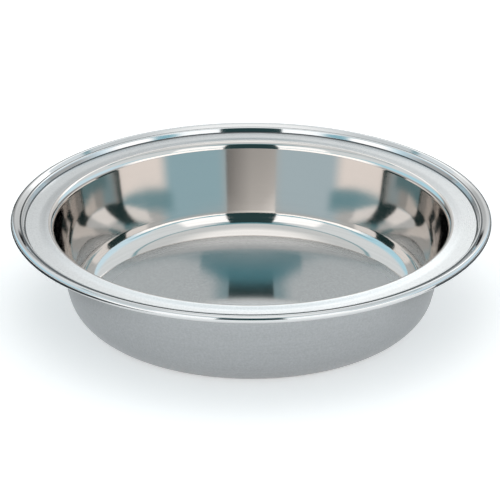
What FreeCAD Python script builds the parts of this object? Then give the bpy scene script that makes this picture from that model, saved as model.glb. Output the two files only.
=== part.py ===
import FreeCAD, Part
import math
import os
import Sketcher
from FreeCAD import Vector

# Round pan pressed from one sheet: flat floor, sloping heel, tapered wall, rounded shoulder,
# wide level flange, and a raised rim with a small bead and an edge rolled round a wire.
# Origin: centre of the flat base, on its underside. +Z is up. Millimetres and degrees.

sizes = {
    "opening_diameter": (345.8, "across the wall's inner face, carried up to flange level"),
    "pan_depth": (81.7, "floor to flange, inside"),
    "sheet": (1.0, "thickness of the steel"),
    "wall_taper": (11.6, "wall from upright"),
    "heel_angle": (31.0, "heel from level"),
    "heel_flat": (0.5, "straight length of the heel"),
    "crease_inside": (2.5, "bend, floor to heel"),
    "corner_inside": (29.5, "bend, heel to wall"),
    "shoulder_inside": (9.0, "wide bend, wall to shoulder"),
    "shoulder_angle": (45.0, "shoulder from level"),
    "shoulder_flat": (0.2, "straight length of the shoulder"),
    "lip_inside": (2.5, "tight bend, shoulder to flange"),
    "flange_width": (24.9, "wall face to riser face, along the flange"),
    "foot_inside": (1.2, "bend, flange to riser"),
    "riser_angle": (68.0, "riser from level"),
    "bead_height": (4.4, "top of the inner bead above the flange"),
    "bead_inside": (0.3, "bend over the inner bead"),
    "dip_angle": (20.0, "outer side of the bead from level"),
    "dip_flat": (1.0, "straight length of that side"),
    "groove_inside": (0.5, "bend, bead to rolled edge"),
    "rise_angle": (30.0, "start of the rolled edge from level"),
    "rise_flat": (3.05, "straight length of that start"),
    "wire_diameter": (4.7, "wire in the rolled edge"),
    "wire_clearance": (0.05, "wire to the sheet round it"),
    "roll_open": (35.0, "cut edge of the roll, below level on its inner side"),
}

doc = FreeCAD.newDocument("flanged_pan")
sheet = doc.addObject("Spreadsheet::Sheet", "sizes")
for row, (name, (value, note)) in enumerate(sizes.items(), start=1):
    sheet.set("A%d" % row, name)
    sheet.set("B%d" % row, str(value))
    sheet.set("C%d" % row, note)
    sheet.setAlias("B%d" % row, name)
doc.recompute()


def size(name):
    return float(sheet.get(name))


def cell(name):
    return "sizes." + name


def mm(text):
    return "(%s) * 1 mm" % text


def deg(text):
    return "(%s) * 1 deg" % text


def along(angle):
    return Vector(math.cos(math.radians(angle)), math.sin(math.radians(angle)), 0)


def left_of(angle):
    return along(angle + 90)


def bearing(centre, point):
    return math.atan2(point.y - centre.y, point.x - centre.x)


# A bend of the sheet, met from the axis outwards. Turning up (+1) it is tight on the upper face,
# turning down (-1) it is tight on the lower face, and the other face adds the sheet.
class Bend:
    def __init__(self, name, turn, inside, inside_cells, before, after):
        outside = inside + size("sheet")
        outside_cells = inside_cells + " + " + cell("sheet")
        self.name = name
        self.turn = turn
        self.before = before
        self.after = after
        self.upper, self.lower = (inside, outside) if turn > 0 else (outside, inside)
        self.upper_cells, self.lower_cells = inside_cells, outside_cells
        if turn < 0:
            self.upper_cells, self.lower_cells = outside_cells, inside_cells

    # Starts the bend at a point of the upper face and gives the point where it ends there.
    def start_at(self, point):
        self.centre = point + left_of(self.before) * (self.turn * self.upper)
        return self.touch(self.after, self.upper)

    def touch(self, angle, radius):
        return self.centre - left_of(angle) * (self.turn * radius)

    # Length of straight that the bend takes up on each side, on the upper face.
    def reach(self):
        return self.upper * math.tan(math.radians(abs(self.after - self.before) / 2))


def sheet_bend(name, turn, before, after):
    return Bend(name, turn, size(name + "_inside"), cell(name + "_inside"), before, after)


wall_angle = 90 - size("wall_taper")
heel_angle = size("heel_angle")
shoulder_angle = size("shoulder_angle")
riser_angle = size("riser_angle")
dip_angle = size("dip_angle")
rise_angle = size("rise_angle")

crease = sheet_bend("crease", 1, 0, heel_angle)
corner = sheet_bend("corner", 1, heel_angle, wall_angle)
shoulder = sheet_bend("shoulder", -1, wall_angle, shoulder_angle)
lip = sheet_bend("lip", -1, shoulder_angle, 0)
foot = sheet_bend("foot", 1, 0, riser_angle)
bead = sheet_bend("bead", -1, riser_angle, -dip_angle)
groove = sheet_bend("groove", 1, -dip_angle, rise_angle)
roll = Bend("roll", -1, size("wire_diameter") / 2 + size("wire_clearance"),
            "%s / 2 + %s" % (cell("wire_diameter"), cell("wire_clearance")),
            rise_angle, size("roll_open") - 270)
bends = [crease, corner, shoulder, lip, foot, bead, groove, roll]

# Meeting points of the straights on the upper face, then each bend in its place.
floor_level = size("sheet")
flange_level = floor_level + size("pan_depth")
bead_level = flange_level + size("bead_height") - bead.upper
mouth_point = Vector(size("opening_diameter") / 2, flange_level, 0)
riser_point = mouth_point + Vector(size("flange_width"), 0, 0)
heel_length = crease.reach() + size("heel_flat") + corner.reach()
heel_rise = heel_length * along(heel_angle).y
heel_top = mouth_point - along(wall_angle) * ((size("pan_depth") - heel_rise) / along(wall_angle).y)
heel_foot = heel_top - along(heel_angle) * heel_length
shoulder_rise = shoulder.upper * (along(shoulder_angle).x - along(wall_angle).x)
lip_rise = lip.upper * (1 - along(shoulder_angle).x)
mouth_drop = shoulder_rise + size("shoulder_flat") * along(shoulder_angle).y + lip_rise
wall_top = mouth_point - along(wall_angle) * (mouth_drop / along(wall_angle).y)
riser_rise = bead_level + left_of(riser_angle).y * bead.upper - flange_level
riser_top = riser_point + along(riser_angle) * (riser_rise / along(riser_angle).y)

crease.start_at(heel_foot - Vector(crease.reach(), 0, 0))
corner.start_at(heel_top - along(heel_angle) * corner.reach())
shoulder_top = shoulder.start_at(wall_top)
lip.start_at(shoulder_top + along(shoulder_angle) * size("shoulder_flat"))
foot.start_at(riser_point - Vector(foot.reach(), 0, 0))
dip_top = bead.start_at(riser_top)
rise_foot = groove.start_at(dip_top + along(-dip_angle) * size("dip_flat"))
roll.start_at(rise_foot + along(rise_angle) * size("rise_flat"))

# The pan's cross-section: both faces of the sheet, its cut edge and the axis.
start, end, centre = range(1, 4)
level_axis, upright_axis = range(-1, -3, -1)

pan = doc.addObject("PartDesign::Body", "pan_shell")
pan.Label = "pan_shell"
section = pan.newObject("Sketcher::SketchObject", "pan_section")
section.AttachmentSupport = [(o, "") for o in pan.Origin.OriginFeatures if o.Role == "XZ_Plane"]
section.MapMode = "FlatFace"
doc.recompute()


def tie(kind, *where):
    return section.addConstraint(Sketcher.Constraint(kind, *where))


def drive(name, expression, kind, *where):
    section.renameConstraint(tie(kind, *where), name)
    section.setExpression("Constraints." + name, expression)


def measure(name, kind, *where):
    index = tie(kind, *where)
    section.setDriving(index, False)
    section.renameConstraint(index, name)


# One face of the sheet: straights and arcs in turn, from the axis outwards, each tangent to the next.
def draw_face(level, radius_of):
    straights = []
    arcs = []
    last = Vector(0, level, 0)
    for item in bends:
        radius = radius_of(item)
        begin = item.touch(item.before, radius)
        finish = item.touch(item.after, radius)
        first, second = (begin, finish) if item.turn > 0 else (finish, begin)
        circle = Part.Circle(item.centre, Vector(0, 0, 1), radius)
        turn = Part.ArcOfCircle(circle, bearing(item.centre, first), bearing(item.centre, second))
        straights.append(section.addGeometry(Part.LineSegment(last, begin)))
        arcs.append(section.addGeometry(turn))
        last = finish
    for index, item in enumerate(bends):
        near, far = (start, end) if item.turn > 0 else (end, start)
        tie("Tangent", straights[index], end, arcs[index], near)
        if item is not roll:
            tie("Tangent", arcs[index], far, straights[index + 1], start)
    tie("Horizontal", straights[0])
    tie("PointOnObject", straights[0], start, upright_axis)
    return straights, arcs


upper_lines, upper_arcs = draw_face(floor_level, lambda item: item.upper)
lower_lines, lower_arcs = draw_face(0, lambda item: item.lower)
floor_line, heel_line, wall_line, shoulder_line = upper_lines[:4]
flange_line, riser_line, dip_line, rise_line = upper_lines[4:]
arc_of = {item: arc for item, arc in zip(bends, upper_arcs)}

cut_edge = section.addGeometry(Part.LineSegment(roll.touch(roll.after, roll.upper),
                                                roll.touch(roll.after, roll.lower)))
axis_line = section.addGeometry(Part.LineSegment(Vector(0, 0, 0), Vector(0, floor_level, 0)))
mouth = section.addGeometry(Part.Point(mouth_point), True)
riser_heel = section.addGeometry(Part.Point(riser_point), True)

for upper_arc, lower_arc in zip(upper_arcs, lower_arcs):
    tie("Coincident", upper_arc, centre, lower_arc, centre)
tie("Coincident", cut_edge, start, upper_arcs[-1], start)
tie("Coincident", cut_edge, end, lower_arcs[-1], start)
tie("PointOnObject", upper_arcs[-1], centre, cut_edge)
tie("Coincident", axis_line, start, lower_lines[0], start)
tie("Coincident", axis_line, end, upper_lines[0], start)
tie("Horizontal", flange_line)
for point, straight in ((mouth, wall_line), (riser_heel, riser_line)):
    tie("PointOnObject", point, start, flange_line)
    tie("PointOnObject", point, start, straight)

for item, upper_arc, lower_arc in zip(bends, upper_arcs, lower_arcs):
    drive(item.name + "_upper", mm(item.upper_cells), "Radius", upper_arc, item.upper)
    drive(item.name + "_lower", mm(item.lower_cells), "Radius", lower_arc, item.lower)
for name, straight in (("heel", heel_line), ("shoulder", shoulder_line),
                       ("dip", dip_line), ("rise", rise_line)):
    drive(name + "_length", mm(cell(name + "_flat")), "Distance", straight, size(name + "_flat"))
for name, straight, angle, angle_cells in (
        ("heel", heel_line, heel_angle, cell("heel_angle")),
        ("wall", wall_line, wall_angle, "90 - " + cell("wall_taper")),
        ("shoulder", shoulder_line, shoulder_angle, cell("shoulder_angle")),
        ("riser", riser_line, riser_angle, cell("riser_angle")),
        ("dip", dip_line, -dip_angle, "-" + cell("dip_angle")),
        ("rise", rise_line, rise_angle, cell("rise_angle")),
        ("cut", cut_edge, size("roll_open"), cell("roll_open"))):
    drive(name + "_slope", deg(angle_cells), "Angle", level_axis, straight, math.radians(angle))

flange_cells = cell("sheet") + " + " + cell("pan_depth")
bead_cells = "%s + %s - (%s)" % (flange_cells, cell("bead_height"), bead.upper_cells)
drive("floor_level", mm(cell("sheet")),
      "DistanceY", level_axis, start, floor_line, start, floor_level)
drive("flange_level", mm(flange_cells),
      "DistanceY", level_axis, start, flange_line, start, flange_level)
drive("bead_level", mm(bead_cells),
      "DistanceY", level_axis, start, arc_of[bead], centre, bead_level)
drive("opening_half", mm(cell("opening_diameter") + " / 2"),
      "DistanceX", level_axis, start, mouth, start, mouth_point.x)
drive("flange_run", mm(cell("flange_width")),
      "DistanceX", mouth, start, riser_heel, start, size("flange_width"))
measure("roll_half", "DistanceX", level_axis, start, arc_of[roll], centre, roll.centre.x)
measure("roll_level", "DistanceY", level_axis, start, arc_of[roll], centre, roll.centre.y)
doc.recompute()

turned = pan.newObject("PartDesign::Revolution", "turned_sheet")
turned.Profile = section
turned.ReferenceAxis = (section, ["V_Axis"])
turned.Angle = 360
doc.recompute()

# The wire that the edge is rolled round.
wire = doc.addObject("Part::Torus", "rim_wire")
wire.Label = "rim_wire"
wire.setExpression("Radius1", "pan_section.Constraints.roll_half")
wire.setExpression("Radius2", mm(cell("wire_diameter") + " / 2"))
wire.setExpression("Placement.Base.z", "pan_section.Constraints.roll_level")
doc.recompute()

for item in doc.Objects:
    if "Invalid" in item.State or "Error" in item.State:
        raise RuntimeError(item.Name + " failed")
if not section.FullyConstrained:
    raise RuntimeError("the cross-section is not fully constrained")

os.makedirs("parts", exist_ok=True)
for piece in (pan, wire):
    if piece.Shape.isNull() or not piece.Shape.isValid():
        raise RuntimeError(piece.Label + " has no sound shape")
    box = piece.Shape.optimalBoundingBox()
    print("%s: %d solid, %.1f mm3, %.2f x %.2f x %.2f mm, z from %.2f"
          % (piece.Label, len(piece.Shape.Solids), piece.Shape.Volume,
             box.XLength, box.YLength, box.ZLength, box.ZMin))
    piece.Shape.exportStep("parts/%s.step" % piece.Label)
print("flat floor %.2f across, roll centre %.2f out and %.2f up"
      % (2 * crease.centre.x, roll.centre.x, roll.centre.y))
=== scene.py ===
import bpy
import bmesh
import math
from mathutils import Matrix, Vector


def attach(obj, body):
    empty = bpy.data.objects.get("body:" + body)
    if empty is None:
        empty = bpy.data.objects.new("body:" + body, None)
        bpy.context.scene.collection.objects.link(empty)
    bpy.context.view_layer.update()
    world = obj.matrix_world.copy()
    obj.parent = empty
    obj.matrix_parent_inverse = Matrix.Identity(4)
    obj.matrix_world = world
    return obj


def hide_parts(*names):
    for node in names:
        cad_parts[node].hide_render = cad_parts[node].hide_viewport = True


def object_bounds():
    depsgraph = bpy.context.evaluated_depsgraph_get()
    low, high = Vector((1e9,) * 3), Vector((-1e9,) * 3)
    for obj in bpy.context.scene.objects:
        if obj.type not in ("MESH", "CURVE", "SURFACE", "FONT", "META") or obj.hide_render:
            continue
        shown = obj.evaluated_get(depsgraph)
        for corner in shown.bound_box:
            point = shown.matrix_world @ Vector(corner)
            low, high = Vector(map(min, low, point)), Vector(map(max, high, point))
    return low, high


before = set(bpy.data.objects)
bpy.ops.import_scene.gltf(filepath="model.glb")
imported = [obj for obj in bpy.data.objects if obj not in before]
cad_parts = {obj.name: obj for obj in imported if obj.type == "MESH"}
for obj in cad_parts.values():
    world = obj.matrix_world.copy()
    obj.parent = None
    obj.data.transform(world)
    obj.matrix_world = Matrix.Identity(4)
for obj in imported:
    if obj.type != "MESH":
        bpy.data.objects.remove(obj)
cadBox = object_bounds()
print("frame loaded:", sorted(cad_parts))
tiny = 1e-7   # lengths and angles below this count as none


# one sheet, bent from the axis outwards, sizes in metres and degrees
panSheet = {
    "openingDiameter": 0.3458,
    "depth": 0.0817,
    "thickness": 0.001,
    "wallTaper": 11.6,
    "wallBow": 1.8,          # degrees the wall's slope turns each side of its taper
    "heelAngle": 31,
    "heelFlat": 0.0005,
    "creaseInside": 0.0025,
    "cornerInside": 0.0295,
    "shoulderInside": 0.009,
    "shoulderAngle": 45,
    "shoulderFlat": 0.0002,
    "lipInside": 0.0025,
    "crownRise": 0.001,      # lip above the level part of the flange
    "crownAngle": -3,        # slope of the flange as it leaves the lip
    "crownWidth": 0.009,     # from the lip to the level part
    "flangeWidth": 0.0249,
    "footInside": 0.0012,
    "riserAngle": 68,
    "beadHeight": 0.0044,
    "beadInside": 0.0003,
    "dipAngle": 20,
    "dipFlat": 0.001,
    "grooveInside": 0.0005,
    "riseAngle": 30,
    "riseFlat": 0.00305,
    "rollInside": 0.0024,
    "rollOpen": 35,
    "segments": 360,         # round the axis
    "straightStep": 0.006,   # longest step along a straight
    "arcStep": 5,            # degrees along a bend
    "supportStep": 0.0002,   # loop beside each bend, keeps the flats flat in the shading
    "arcSteps": 3,           # fewest steps along a bend
    "crownSteps": 8,         # steps from the lip to the level part
}


def along(angle):
    return Vector((math.cos(math.radians(angle)), math.sin(math.radians(angle))))


def leftOf(angle):
    return along(angle + 90)


class Bend:
    def __init__(self, zone, turn, inside, before, after):
        thickness = panSheet["thickness"]
        self.zone = zone
        self.turn = turn
        self.before = before
        self.after = after
        self.upper = inside if turn > 0 else inside + thickness
        self.lower = self.upper + turn * thickness

    def startAt(self, point):
        self.centre = point + leftOf(self.before) * (self.turn * self.upper)
        return self.touch(self.after, self.upper)

    def touch(self, angle, radius):
        return self.centre - leftOf(angle) * (self.turn * radius)

    def reach(self):
        return self.upper * math.tan(math.radians(abs(self.after - self.before) / 2))


def layOutBends():
    s = panSheet
    wall = 90 - s["wallTaper"]
    heel, shoulderSlope = s["heelAngle"], s["shoulderAngle"]
    riser, dip, rise = s["riserAngle"], -s["dipAngle"], s["riseAngle"]
    crease = Bend("wall", 1, s["creaseInside"], 0, heel)
    corner = Bend("wall", 1, s["cornerInside"], heel, wall)
    shoulder = Bend("wall", -1, s["shoulderInside"], wall, shoulderSlope)
    lip = Bend("wall", -1, s["lipInside"], shoulderSlope, 0)
    # the foot and groove bends take the dark crease steel: painted shade standing in for the dark lines
    # these creases reflect
    foot = Bend("creaseShade", 1, s["footInside"], 0, riser)
    bead = Bend("rim", -1, s["beadInside"], riser, dip)
    groove = Bend("creaseShade", 1, s["grooveInside"], dip, rise)
    roll = Bend("rim", -1, s["rollInside"], rise, s["rollOpen"] - 270)

    flangeLevel = s["thickness"] + s["depth"]
    mouth = Vector((s["openingDiameter"] / 2, flangeLevel))
    riserFoot = mouth + Vector((s["flangeWidth"], 0))
    heelLength = crease.reach() + s["heelFlat"] + corner.reach()
    heelRise = heelLength * along(heel).y
    heelTop = mouth - along(wall) * ((s["depth"] - heelRise) / along(wall).y)
    heelFoot = heelTop - along(heel) * heelLength
    shoulderRise = shoulder.upper * (along(shoulderSlope).x - along(wall).x)
    lipRise = lip.upper * (1 - along(shoulderSlope).x)
    mouthDrop = shoulderRise + s["shoulderFlat"] * along(shoulderSlope).y + lipRise
    wallTop = mouth - along(wall) * (mouthDrop / along(wall).y)
    beadLevel = flangeLevel + s["beadHeight"] - bead.upper
    riserRise = beadLevel + leftOf(riser).y * bead.upper - flangeLevel
    riserTop = riserFoot + along(riser) * (riserRise / along(riser).y)

    crease.startAt(heelFoot - Vector((crease.reach(), 0)))
    corner.startAt(heelTop - along(heel) * corner.reach())
    shoulderTop = shoulder.startAt(wallTop)
    lip.startAt(shoulderTop + along(shoulderSlope) * s["shoulderFlat"])
    foot.startAt(riserFoot - Vector((foot.reach(), 0)))
    dipTop = bead.startAt(riserTop)
    riseFoot = groove.startAt(dipTop + along(dip) * s["dipFlat"])
    roll.startAt(riseFoot + along(rise) * s["riseFlat"])
    corner.after -= s["wallBow"]
    shoulder.before += s["wallBow"]
    crownShift = along(wall) * (s["crownRise"] / along(wall).y)
    shoulder.centre += crownShift
    lip.centre += crownShift
    lip.after = s["crownAngle"]
    return [crease, corner, shoulder, lip, foot, bead, groove, roll]


# the flat between the bead and the groove is painted dark too, as painted shade
straightZones = ["floor", "wall", "wall", "wall", "flange", "rim", "creaseShade", "rim"]


def straightPoints(first, last, step):
    length = (last - first).length
    if length < tiny:
        return []
    support = panSheet["supportStep"]
    inner = length - 2 * support
    marks = [0.0]
    if inner > 2 * support:
        steps = max(1, math.ceil(inner / step))
        marks += [support + inner * i / steps for i in range(steps + 1)]
    return [first + (last - first) * (m / length) for m in marks]


def bowed(points, slopeStart, slopeEnd):
    first, last = points[0], points[-1]
    length = (last - first).length
    leaving, arriving = along(slopeStart) * length, along(slopeEnd) * length
    made = []
    for p in points:
        t = (p - first).length / length
        made.append(first * (2 * t ** 3 - 3 * t ** 2 + 1) + leaving * (t ** 3 - 2 * t ** 2 + t)
                    + last * (3 * t ** 2 - 2 * t ** 3) + arriving * (t ** 3 - t ** 2))
    return made


def facePoints(bends, level, radiusOf):
    points = []
    last = Vector((0.0, level))
    slope = 0
    for bend, zone in zip(bends, straightZones):
        radius = radiusOf(bend)
        first = bend.touch(bend.before, radius)
        if zone == "flange":
            crownEnd = Vector((last.x + panSheet["crownWidth"], first.y))
            crown = straightPoints(last, crownEnd, panSheet["crownWidth"] / panSheet["crownSteps"])
            points += [(p, zone) for p in bowed(crown + [crownEnd], slope, 0)[:-1]]
            last, slope = crownEnd, 0
        straight = straightPoints(last, first, panSheet["straightStep"])
        if abs(slope - bend.before) > tiny:
            straight = bowed(straight + [first], slope, bend.before)[:-1]
        points += [(p, zone) for p in straight]
        sweep = bend.after - bend.before
        steps = max(panSheet["arcSteps"], math.ceil(abs(sweep) / panSheet["arcStep"]))
        for i in range(steps):
            points.append((bend.touch(bend.before + sweep * i / steps, radius), bend.zone))
        last, slope = bend.touch(bend.after, radius), bend.after
    points.append((last, bends[-1].zone))
    return points


def buildPan():
    bends = layOutBends()
    upper = facePoints(bends, panSheet["thickness"], lambda b: b.upper)
    lower = facePoints(bends, 0.0, lambda b: b.lower)
    outline = upper + [(p, "outside") for p, zone in reversed(lower)]
    segments = panSheet["segments"]
    outermost = bends[-1].centre.x + bends[-1].upper
    fit = min(1, cadBox[1][0] / outermost, cadBox[1][1] / outermost)   # stays in the CAD's box
    fitHeight = min(1, cadBox[1][2] / max(point.y for point, zone in outline))
    zones = ["floor", "wall", "flange", "rim", "creaseShade", "outside"]

    mesh = bmesh.new()
    rings = []
    for point, zone in outline:
        if point.x < tiny:
            rings.append([mesh.verts.new((0, 0, point.y * fitHeight))])
            continue
        ring = []
        for i in range(segments):
            a = 2 * math.pi * i / segments
            across = point.x * fit
            ring.append(mesh.verts.new((across * math.cos(a), across * math.sin(a), point.y * fitHeight)))
        rings.append(ring)
    for index in range(len(rings) - 1):
        near, far = rings[index], rings[index + 1]
        zone = outline[index][1]
        for i in range(segments):
            j = (i + 1) % segments
            if len(near) == 1:
                face = mesh.faces.new((near[0], far[i], far[j]))
            elif len(far) == 1:
                face = mesh.faces.new((near[j], near[i], far[0]))
            else:
                face = mesh.faces.new((near[i], far[i], far[j], near[j]))
            face.smooth = True
            face.material_index = zones.index(zone)
    data = bpy.data.meshes.new("panShell")
    mesh.to_mesh(data)
    mesh.free()
    pan = bpy.data.objects.new("panShell", data)
    bpy.context.scene.collection.objects.link(pan)
    return pan, zones


class Shading:
    def __init__(self, tree):
        self.tree = tree

    def node(self, kind, **settings):
        made = self.tree.nodes.new(kind)
        for key, value in settings.items():
            setattr(made, key, value)
        return made

    def link(self, source, socket):
        self.tree.links.new(source, socket)

    def set(self, socket, value):
        if isinstance(value, bpy.types.NodeSocket):
            self.link(value, socket)
        else:
            socket.default_value = value

    def math(self, operation, *values):
        made = self.node("ShaderNodeMath", operation=operation)
        for socket, value in zip(made.inputs, values):
            self.set(socket, value)
        return made.outputs[0]

    def spread(self, value, low, high, toLow=0.0, toHigh=1.0, kind="LINEAR"):
        made = self.node("ShaderNodeMapRange", interpolation_type=kind)
        for socket, part in zip(made.inputs, (value, low, high, toLow, toHigh)):
            self.set(socket, part)
        return made.outputs["Result"]

    def noise(self, vector, scale, detail, roughness=0.5):
        made = self.node("ShaderNodeTexNoise")
        self.link(vector, made.inputs["Vector"])
        made.inputs["Scale"].default_value = scale
        made.inputs["Detail"].default_value = detail
        made.inputs["Roughness"].default_value = roughness
        return made.outputs["Fac"]

    def mix(self, factor, first, second, blend="MIX"):
        made = self.node("ShaderNodeMix", data_type="RGBA", blend_type=blend)
        for socket, value in zip((made.inputs[0], made.inputs[6], made.inputs[7]), (factor, first, second)):
            self.set(socket, value)
        return made.outputs[2]


# what all the steel finishes share
steelMarks = {
    "ringDetail": 3,
    "ringRoughness": 0.65,
    "grainDetail": 2,
    "middle": 0.5,                # the noise's mean
    "noiseRange": (0.3, 0.7),     # where nearly all of the noise lies
    "streakRange": (0.35, 0.75),
    "bumpHeight": 0.0001,         # metres
}


# turned and polished steel: rings round the axis, a fine grain, and slow changes of gloss
# ringFade: the rings fade between these two heights, to this share
# edgeGloss: between these two radii, this much roughness is added
def steel(name, look):
    material = bpy.data.materials.new(name)
    material.use_nodes = True
    shading = Shading(material.node_tree)
    shader = material.node_tree.nodes["Principled BSDF"]
    place = shading.node("ShaderNodeTexCoord").outputs["Object"]
    split = shading.node("ShaderNodeSeparateXYZ")
    shading.link(place, split.inputs[0])
    x, y, z = split.outputs
    squares = shading.math("ADD", shading.math("MULTIPLY", x, x), shading.math("MULTIPLY", y, y))
    radius = shading.math("SQRT", squares)
    turned = shading.node("ShaderNodeCombineXYZ")
    shading.link(radius, turned.inputs[0])
    shading.link(z, turned.inputs[1])
    rings = shading.noise(turned.outputs[0], look["ringScale"],
                          steelMarks["ringDetail"], steelMarks["ringRoughness"])
    if "ringFade" in look:
        low, high, left = look["ringFade"]
        kept = shading.spread(z, low, high, 1, left)
        swing = shading.math("MULTIPLY", shading.math("SUBTRACT", rings, steelMarks["middle"]), kept)
        rings = shading.math("ADD", swing, steelMarks["middle"])
    grain = shading.noise(place, look["grainScale"], steelMarks["grainDetail"])
    clouds = shading.noise(place, look["cloudScale"], steelMarks["grainDetail"])

    marks = shading.math("ADD", shading.math("MULTIPLY", rings, look["ringDepth"]),
                         shading.math("MULTIPLY", grain, look["grainDepth"]))
    low, high = steelMarks["noiseRange"]
    depth = look["ringDepth"] + look["grainDepth"]
    tone = shading.spread(marks, low * depth, high * depth, 1 - look["toneChange"], 1)
    toned = shading.mix(1.0, (*look["colour"], 1), tone, "MULTIPLY")
    shading.link(toned, shader.inputs["Base Color"])
    gloss = shading.spread(clouds, low, high, -look["glossChange"], look["glossChange"])
    streaks = shading.spread(rings, *steelMarks["streakRange"], 0, look["streakGloss"])
    if "edgeGloss" in look:
        near, far, added = look["edgeGloss"]
        gloss = shading.math("ADD", gloss, shading.spread(radius, near, far, 0, added))
    shading.link(shading.math("ADD", shading.math("ADD", gloss, streaks), look["roughness"]),
                 shader.inputs["Roughness"])
    bump = shading.node("ShaderNodeBump")
    bump.inputs["Strength"].default_value = look["bump"]
    bump.inputs["Distance"].default_value = steelMarks["bumpHeight"]
    shading.link(marks, bump.inputs["Height"])
    shading.link(bump.outputs[0], shader.inputs["Normal"])
    shader.inputs["Metallic"].default_value = 1
    return material


pan, zones = buildPan()
finishes = {
    "floor": {"colour": (0.67, 0.69, 0.7), "roughness": 0.07, "glossChange": 0.01, "streakGloss": 0.03,
              "ringScale": 900, "ringDepth": 0.4, "grainScale": 650, "grainDepth": 1, "cloudScale": 14,
              "toneChange": 0.2, "bump": 0.05, "edgeGloss": (0.108, 0.135, 0.2)},
    "wall": {"colour": (0.67, 0.64, 0.615), "roughness": 0.03, "glossChange": 0.012, "streakGloss": 0.08,
             "ringScale": 420, "ringDepth": 1, "grainScale": 900, "grainDepth": 0.25, "cloudScale": 10,
             "toneChange": 0.12, "bump": 0.12, "ringFade": (0.02, 0.042, 0.14)},
    "flange": {"colour": (0.79, 0.8, 0.805), "roughness": 0.28, "glossChange": 0.02, "streakGloss": 0.03,
               "ringScale": 800, "ringDepth": 0.4, "grainScale": 650, "grainDepth": 1, "cloudScale": 14,
               "toneChange": 0.18, "bump": 0.1},
    "rim": {"colour": (0.64, 0.64, 0.64), "roughness": 0.06, "glossChange": 0.01, "streakGloss": 0.03,
            "ringScale": 900, "ringDepth": 1, "grainScale": 1500, "grainDepth": 0.2, "cloudScale": 14,
            "toneChange": 0.04, "bump": 0.015},
    # near-black steel for the foot, dip and groove: painted shade in place of the dark reflections along the
    # rim
    "creaseShade": {"colour": (0.11, 0.12, 0.125), "roughness": 0.2, "glossChange": 0.02, "streakGloss": 0.04,
             "ringScale": 900, "ringDepth": 1, "grainScale": 1500, "grainDepth": 0.4, "cloudScale": 30,
             "toneChange": 0.3, "bump": 0.03},
    "outside": {"colour": (0.465, 0.475, 0.484), "roughness": 0.38, "glossChange": 0.02, "streakGloss": 0.03,
                "ringScale": 700, "ringDepth": 0.5, "grainScale": 600, "grainDepth": 1, "cloudScale": 12,
                "toneChange": 0.2, "bump": 0.12},
}
wireFinish = {"colour": (0.52, 0.53, 0.53), "roughness": 0.3, "glossChange": 0.02, "streakGloss": 0.04,
              "ringScale": 3000, "ringDepth": 1, "grainScale": 2000, "grainDepth": 0.3, "cloudScale": 20,
              "toneChange": 0.08, "bump": 0.05}
for zone in zones:
    pan.data.materials.append(steel(zone + "Steel", finishes[zone]))
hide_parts("pan_shell")
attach(pan, "root")
print("pan:", len(pan.data.polygons), "faces")

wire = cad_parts["rim_wire"]
wire.data.materials.clear()
wire.data.materials.append(steel("wireSteel", wireFinish))
print("wire: finished")


def matte(name, colour, roughness):
    material = bpy.data.materials.new(name)
    material.use_nodes = True
    shader = material.node_tree.nodes["Principled BSDF"]
    shader.inputs["Base Color"].default_value = (*colour, 1)
    shader.inputs["Roughness"].default_value = roughness
    shader.inputs["Specular IOR Level"].default_value = 0
    return material, shader


def levelCorners(left, front, right, back, height):
    return [(left, front, height), (right, front, height), (right, back, height), (left, back, height)]


def flatSheet(name, corners, material):
    mesh = bpy.data.meshes.new(name)
    mesh.from_pydata(corners, [], [(0, 1, 2, 3)])
    mesh.materials.append(material)
    made = bpy.data.objects.new(name, mesh)
    bpy.context.scene.collection.objects.link(made)
    return made


# white ground, its colour carried to white where nothing shades it
ground = {"half": 6, "level": -0.0002, "colour": (0.93, 0.915, 0.905), "roughness": 0.9, "glow": 0.32}
groundMaterial, groundShader = matte("whiteGround", ground["colour"], ground["roughness"])
groundShader.inputs["Emission Color"].default_value = (1, 1, 1, 1)
groundShader.inputs["Emission Strength"].default_value = ground["glow"]
groundNodes = Shading(groundMaterial.node_tree)
oneSided = groundNodes.node("ShaderNodeMixShader")   # seen through from below, so that the underside shows
groundNodes.link(groundNodes.node("ShaderNodeNewGeometry").outputs["Backfacing"], oneSided.inputs[0])
groundNodes.link(groundShader.outputs[0], oneSided.inputs[1])
groundNodes.link(groundNodes.node("ShaderNodeBsdfTransparent").outputs[0], oneSided.inputs[2])
groundNodes.link(oneSided.outputs[0], groundMaterial.node_tree.nodes["Material Output"].inputs[0])
reach = ground["half"]
flatSheet("ground", levelCorners(-reach, -reach, reach, reach, ground["level"]), groundMaterial)

# dark cards on the ground beside the pan, out of the camera's sight, draw the dark lines on the rim
sideCards = {
    "near": 0.212,
    "far": 0.9,
    "front": {"left": -0.35, "right": -0.12},
    "back": 1.14,
    "level": 0.0003,
    "colour": {"left": (0.05, 0.06, 0.065), "right": (0.12, 0.13, 0.135)},
    "roughness": 1,
}
for side, sign in (("left", -1), ("right", 1)):
    cardMaterial, cardShader = matte(side + "CardBlack", sideCards["colour"][side], sideCards["roughness"])
    corners = levelCorners(sign * sideCards["near"], sideCards["front"][side],
                           sign * sideCards["far"], sideCards["back"], sideCards["level"])
    card = flatSheet(side + "Card", corners, cardMaterial)
    card.visible_camera = False
    card.visible_diffuse = False
    card.visible_shadow = False

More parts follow.
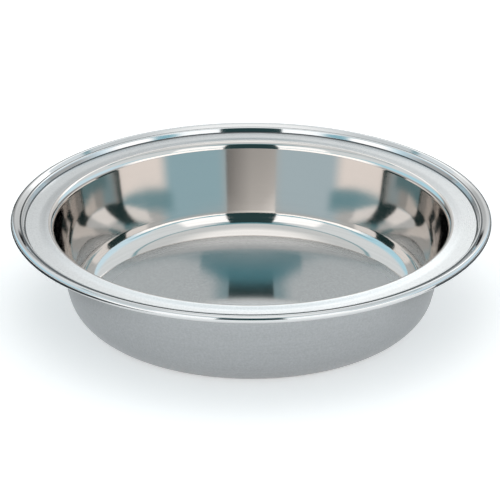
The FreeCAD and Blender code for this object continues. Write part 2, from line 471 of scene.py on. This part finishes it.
# glowing board behind the pan, brighter towards its top and its right
board = {
    "distance": 1.15,
    "half": 0.66,
    "bottom": 0.0,
    "top": 1.05,
    "colour": (0.98, 1, 1),
    "levels": ((0.21, 0.03), (0.27, 0.74), (0.5, 0.8), (0.58, 0.88), (0.7, 1.02), (0.8, 1.6), (0.95, 2.2)),
    "leftEnd": 0.38,
    "rightEnd": 1.06,
}   # levels: height and strength
boardMaterial = bpy.data.materials.new("boardGlow")
boardMaterial.use_nodes = True
boardMaterial.node_tree.nodes.clear()
glow = Shading(boardMaterial.node_tree)
boardSplit = glow.node("ShaderNodeSeparateXYZ")
glow.link(glow.node("ShaderNodeTexCoord").outputs["Object"], boardSplit.inputs[0])
boardX, boardZ = boardSplit.outputs[0], boardSplit.outputs[2]
strength = board["levels"][0][1]
for (lowZ, lowGlow), (highZ, highGlow) in zip(board["levels"], board["levels"][1:]):
    strength = glow.math("ADD", strength, glow.spread(boardZ, lowZ, highZ, 0, highGlow - lowGlow))
across = glow.math("ADD", glow.spread(boardX, -board["half"], 0, board["leftEnd"], 1),
                   glow.spread(boardX, 0, board["half"], 0, board["rightEnd"] - 1))
strength = glow.math("MULTIPLY", strength, across)
emission = glow.node("ShaderNodeEmission")
emission.inputs["Color"].default_value = (*board["colour"], 1)
glow.link(strength, emission.inputs["Strength"])
glow.link(emission.outputs[0], glow.node("ShaderNodeOutputMaterial").inputs[0])
half, behind = board["half"], board["distance"]
boardPiece = flatSheet("board", [(-half, behind, board["bottom"]), (half, behind, board["bottom"]),
                                 (half, behind, board["top"]), (-half, behind, board["top"])], boardMaterial)
boardPiece.visible_camera = False
print("stage: ground, cards and board")

# studio that the steel reflects, white to the camera
world = bpy.data.worlds.new("studio")
bpy.context.scene.world = world
world.use_nodes = True
world.node_tree.nodes.clear()
sky = Shading(world.node_tree)

# azimuth 0 towards the camera, or away from it where back is set, + to the right; elevation from the horizon
# tilt: degrees that the panel climbs per degree of azimuth; soft: half width of its edges
tentPanels = [
    {"name": "leftBack", "back": True, "azimuth": (-108, -30), "elevation": (11, 28),
     "soft": (10, 3), "colour": (0.62, 1.0, 1.18)},
    {"name": "rightBack", "back": True, "azimuth": (30, 108), "elevation": (11, 28),
     "soft": (10, 3), "colour": (0.86, 1.14, 1.3)},
    {"name": "lowSides", "back": True, "azimuth": (-105, 105), "elevation": (-6, 10),
     "soft": (6, 3), "colour": (0.55, 0.57, 0.58)},
    {"name": "lowBack", "back": True, "azimuth": (-60, 60), "elevation": (-6, 8),
     "soft": (10, 5), "colour": (0.25, 0.26, 0.26)},
    {"name": "frontSides", "azimuth": (-48, 48), "elevation": (-6, 41),
     "soft": (3, 2), "colour": (1.62, 1.66, 1.68)},
    {"name": "wings", "azimuth": (-76, 76), "elevation": (-6, 12.6), "tilt": 0.1,
     "soft": (10, 0.6), "colour": (1.75, 1.72, 1.7)},
    {"name": "gap", "azimuth": (-84, 84), "elevation": (12.6, 15.6), "tilt": 0.1,
     "soft": (8, 0.6), "colour": (0.32, 0.64, 0.76)},
    {"name": "frontTop", "azimuth": (-25, 25), "elevation": (41, 47),
     "soft": (7, 1.5), "colour": (0.4, 0.6, 0.66)},
    {"name": "slit", "azimuth": (-39, 39), "elevation": (45.9, 60), "tilt": 0.058,
     "soft": (2, 0.5), "colour": (0.15, 0.42, 0.5)},
    {"name": "ceiling", "azimuth": (-181, 181), "elevation": (51, 95),
     "soft": (1, 0.5), "colour": (0.84, 0.89, 0.91)},
    {"name": "skylight", "azimuth": (-181, 181), "elevation": (70, 110),
     "soft": (1, 9), "colour": (1.35, 1.37, 1.37)},
    {"name": "creaseShade", "azimuth": (-181, 181), "elevation": (49, 51),
     "soft": (1, 0.7), "colour": (0.3, 0.5, 0.56)},
    {"name": "opening", "azimuth": (-16, 16), "elevation": (-6, 46.9),
     "soft": (0.7, 0.4), "colour": (0.03, 0.07, 0.075)},
]
sideColour = (0.96, 1.04, 1.08)

skySplit = sky.node("ShaderNodeSeparateXYZ")
sky.link(sky.node("ShaderNodeTexCoord").outputs["Generated"], skySplit.inputs[0])
dx, dy, dz = skySplit.outputs
perRadian = 180 / math.pi
frontAngle = sky.math("MULTIPLY", sky.math("ARCTAN2", dx, sky.math("MULTIPLY", dy, -1.0)), perRadian)
backAngle = sky.math("MULTIPLY", sky.math("ARCTAN2", dx, dy), perRadian)
height = sky.math("MULTIPLY", sky.math("ARCSINE", dz), perRadian)


def window(value, limits, soft):
    low, high = limits
    rising = sky.spread(value, low - soft, low + soft, kind="SMOOTHSTEP")
    falling = sky.spread(value, high - soft, high + soft, 1.0, 0.0, kind="SMOOTHSTEP")
    return sky.math("MULTIPLY", rising, falling)


skyColour = (*sideColour, 1)
for panel in tentPanels:
    angle = backAngle if panel.get("back") else frontAngle
    climb = sky.math("MULTIPLY", sky.math("ABSOLUTE", angle), panel.get("tilt", 0))
    level = sky.math("SUBTRACT", height, climb)
    mask = sky.math("MULTIPLY", window(angle, panel["azimuth"], panel["soft"][0]),
                    window(level, panel["elevation"], panel["soft"][1]))
    skyColour = sky.mix(mask, skyColour, (*panel["colour"], 1))
cameraRay = sky.node("ShaderNodeLightPath").outputs["Is Camera Ray"]
skyColour = sky.mix(cameraRay, skyColour, (1, 1, 1, 1))
background = sky.node("ShaderNodeBackground")
sky.link(skyColour, background.inputs["Color"])
sky.link(background.outputs[0], sky.node("ShaderNodeOutputWorld").inputs[0])
print("studio:", len(tentPanels), "panels")

# camera, placed so that the pivot falls on its pixel
view = {
    "elevation": 24.1,
    "distance": 2.802,
    "focalPixels": 3200,
    "frame": 500,
    "sensor": 36,
    "pivot": (0, 0, 0.0822),
    "pivotPixel": (251.05, 219.65),
    "clipEnd": 50,
}
camera = bpy.data.objects.new("camera", bpy.data.cameras.new("camera"))
bpy.context.scene.collection.objects.link(camera)
camera.data.sensor_width = view["sensor"]
camera.data.lens = view["sensor"] * view["focalPixels"] / view["frame"]
camera.data.clip_end = view["clipEnd"]
elevation = math.radians(view["elevation"])
towards = Vector((0, -math.cos(elevation), math.sin(elevation)))
upward = Vector((0, math.sin(elevation), math.cos(elevation)))
pivot = Vector(view["pivot"])
camera.location = pivot + towards * view["distance"]
scale = view["distance"] / view["focalPixels"]
offset = [(view["frame"] / 2 - p) * scale for p in view["pivotPixel"]]
aim = pivot + Vector((1, 0, 0)) * offset[0] - upward * offset[1]
camera.rotation_euler = (aim - camera.location).to_track_quat("-Z", "Y").to_euler()
bpy.context.scene.camera = camera
bpy.context.scene.view_settings.view_transform = "Standard"
print("camera: lens", round(camera.data.lens, 1))
